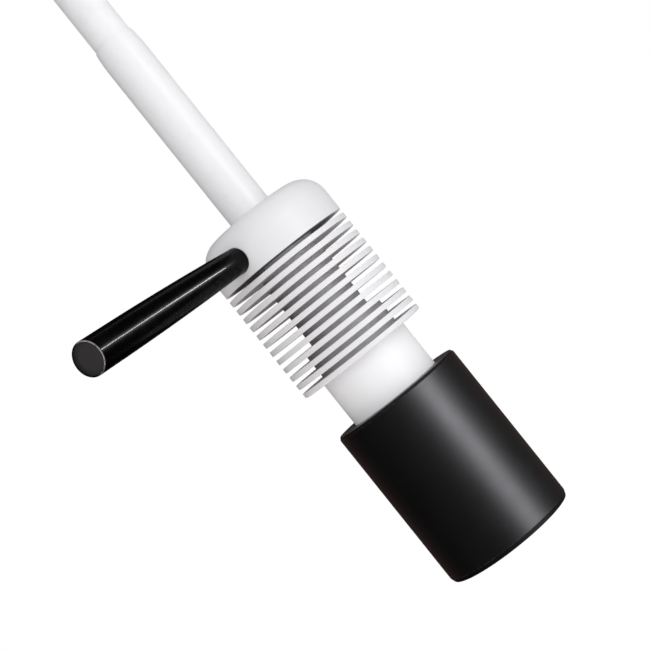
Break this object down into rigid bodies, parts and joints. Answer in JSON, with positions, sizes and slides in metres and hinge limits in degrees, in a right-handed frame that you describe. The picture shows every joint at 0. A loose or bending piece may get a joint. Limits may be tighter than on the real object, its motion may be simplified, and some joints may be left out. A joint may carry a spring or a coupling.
{
  "type": "examination light head",
  "caption": "LED examination light head on a flexible neck, with a finned white body, a black focusing hood and a black pull-off handle.",
  "frame": {"origin": "middle of the shoulder from which the arm's spigot stands up", "axes": "+Z along the lamp's axis towards the arm, so the light shines along -Z; -Y is the side from which the handle and the front are seen, +X to its right"},
  "size_m": [0.134, 0.1758, 0.4645],
  "materials": {
    "satin_steel": "satin turned steel",
    "screw_steel": "plain steel",
    "socket_black": "black moulded plastic and cable jacket",
    "white_lacquer": "aluminium with white satin lacquer",
    "neck_rubber": "white matte soft sheath",
    "bearing_plastic": "dark acetal",
    "brass": "turned brass",
    "core_anodised": "dark grey anodised",
    "white_plastic": "white satin moulded plastic",
    "board_green": "green solder resist",
    "board_white": "aluminium board with white resist",
    "part_dark": "ferrite",
    "can_metal": "bright can",
    "pad_grey": "soft thermal pad",
    "emitter_yellow": "phosphor on a ceramic base",
    "reflector_bright": "bright plated",
    "hood_black": "black satin anodised",
    "baffle_black": "matt black",
    "felt": "black felt",
    "seal_rubber": "black rubber",
    "lens_glass": "clear polished",
    "grip_gloss": "black gloss",
    "cap_grey": "dark grey"
  },
  "bodies": {
    "arm": {"arm_spigot": "satin_steel", "power_socket": "socket_black", "spigot_ferrule": "white_lacquer"},
    "sleeve": {"neck_sheath": "neck_rubber", "gooseneck_coil": "satin_steel", "supply_cable": "socket_black", "sleeve_tube": "white_lacquer", "sleeve_set_screws": "screw_steel", "coil_end_plug": "satin_steel", "swivel_pivot": "satin_steel", "thrust_washer": "satin_steel", "stop_collar": "satin_steel", "collar_screw": "screw_steel"},
    "head": {"head_block": "white_lacquer", "swivel_bushing": "bearing_plastic", "stop_pin": "satin_steel", "block_lock_screw": "screw_steel", "heat_sink_core": "core_anodised", "cooling_fin_01": "white_lacquer", "cooling_fin_02": "white_lacquer", "cooling_fin_03": "white_lacquer", "cooling_fin_04": "white_lacquer", "cooling_fin_05": "white_lacquer", "cooling_fin_06": "white_lacquer", "cooling_fin_07": "white_lacquer", "cooling_fin_08": "white_lacquer", "cooling_fin_09": "white_lacquer", "cooling_fin_10": "white_lacquer", "cooling_fin_11": "white_lacquer", "cooling_fin_12": "white_lacquer", "barrel": "white_plastic", "driver_board": "board_green", "board_standoffs": "brass", "board_screws": "screw_steel", "driver_inductor": "part_dark", "driver_capacitors": "can_metal", "terminal_block": "socket_black", "link_lead": "socket_black", "led_leads": "socket_black", "thermal_pad": "pad_grey", "led_board": "board_white", "led_board_screws": "screw_steel", "led_emitter": "emitter_yellow", "reflector": "reflector_bright", "reflector_snap_ring": "screw_steel", "handle_insert": "brass", "handle_core": "satin_steel", "grip_o_rings": "seal_rubber"},
    "hood": {"hood_shell": "hood_black", "guide_sleeve": "bearing_plastic", "glide_ring_upper": "felt", "glide_ring_lower": "felt", "focus_key": "screw_steel", "baffle_tube": "baffle_black", "lens_gasket": "seal_rubber", "projection_lens": "lens_glass", "retaining_ring": "hood_black"},
    "grip": {"grip": "grip_gloss", "grip_end_cap": "cap_grey"}
  },
  "joints": [
    {"name": "neck_bend", "type": "hinge", "parent": "arm", "child": "sleeve", "pos_m": [0, 0, -0.067], "axis": [0, 1, 0], "range_deg": [-40, 40], "deforming": ["neck_sheath", "gooseneck_coil", "supply_cable"]},
    {"name": "head_swivel", "type": "hinge", "parent": "sleeve", "child": "head", "pos_m": [0, 0, -0.2213], "axis": [0, 0, 1], "range_deg": [-160, 160]},
    {"name": "focus_slide", "type": "slide", "parent": "head", "child": "hood", "axis": [0, 0, 1], "range_m": [-0.006, 0.02]},
    {"name": "grip_pull", "type": "slide", "parent": "head", "child": "grip", "axis": [-0.5592, -0.829, 0], "range_m": [0, 0.09]}
  ]
}
